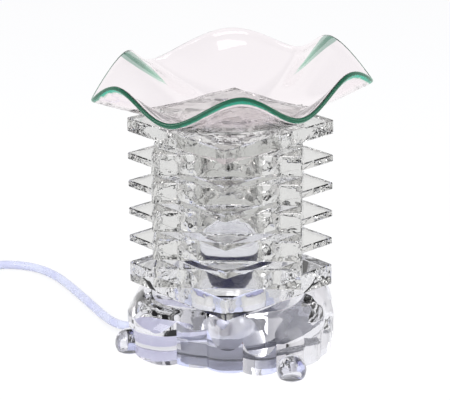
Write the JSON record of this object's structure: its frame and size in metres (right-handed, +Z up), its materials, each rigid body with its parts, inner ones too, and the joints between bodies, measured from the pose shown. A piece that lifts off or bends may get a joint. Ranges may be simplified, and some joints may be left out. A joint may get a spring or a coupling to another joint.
{
  "type": "wax melt warmer",
  "caption": "Electric wax melt warmer: a ruffled glass dish on a tower of stacked clear glass squares, heated from inside by a reflector lamp, on a fluted glass base with a corded dimmer.",
  "frame": {"origin": "on the axis of the tower, in the plane that the foot pads stand on", "axes": "+Z up; -Y towards the front, which the picture shows; +X to the right seen from the front"},
  "size_m": [0.3527, 0.1756, 0.1639],
  "materials": {
    "clear_glass": "polished",
    "dish_glass": "polished",
    "reflector_glass": "polished",
    "lens_glass": "polished",
    "holder_white": "satin",
    "white_plastic": "satin",
    "pad_rubber": "satin",
    "steel": "satin",
    "brass": "satin",
    "pin_metal": "polished",
    "lead_black": "satin",
    "lead_white": "satin",
    "cord_plastic": "satin",
    "dimmer_plastic": "satin",
    "wheel_plastic": "satin",
    "board_laminate": "satin"
  },
  "bodies": {
    "warmer": {"base_block": "clear_glass", "bottom_plate": "clear_glass", "spacer_block_1": "clear_glass", "spacer_block_2": "clear_glass", "spacer_block_3": "clear_glass", "spacer_block_4": "clear_glass", "spacer_block_5": "clear_glass", "thin_plate_1": "clear_glass", "thin_plate_2": "clear_glass", "thin_plate_3": "clear_glass", "thin_plate_4": "clear_glass", "top_plate": "clear_glass", "foot_pads": "pad_rubber", "bottom_cover": "white_plastic", "holder_bracket": "steel", "bracket_screws": "steel", "lamp_holder": "holder_white", "holder_screws": "steel", "holder_contacts": "brass", "crimp_sleeves": "brass", "live_lead": "lead_black", "neutral_lead": "lead_white", "strain_relief": "white_plastic", "cord_tail": "cord_plastic", "cord_run": "cord_plastic", "cord_link": "cord_plastic", "cord_coil": "cord_plastic", "cord_lead": "cord_plastic", "dimmer_lower_half": "dimmer_plastic", "dimmer_upper_half": "dimmer_plastic", "dimmer_axle": "steel", "dimmer_board": "board_laminate", "dimmer_screws": "steel", "plug_body": "dimmer_plastic", "plug_blades": "pin_metal"},
    "dish": {"dish": "dish_glass"},
    "lamp": {"lamp_base": "holder_white", "lamp_pins": "pin_metal", "lamp_reflector": "reflector_glass", "lamp_lens": "lens_glass", "lamp_capsule": "lens_glass"},
    "thumbwheel": {"dimmer_wheel": "wheel_plastic"}
  },
  "joints": [
    {"name": "dish_lift", "type": "slide", "parent": "warmer", "child": "dish", "axis": [0, 0, 1], "range_m": [0, 0.08]},
    {"name": "lamp_twist", "type": "hinge", "parent": "warmer", "child": "lamp", "pos_m": [0, 0, 0.0138], "axis": [0, 0, 1], "range_deg": [0, 25]},
    {"name": "dimmer_turn", "type": "hinge", "parent": "warmer", "child": "thumbwheel", "pos_m": [-0.164, 0.02, 0.008], "axis": [0, 0, 1], "range_deg": [0, 270]}
  ]
}
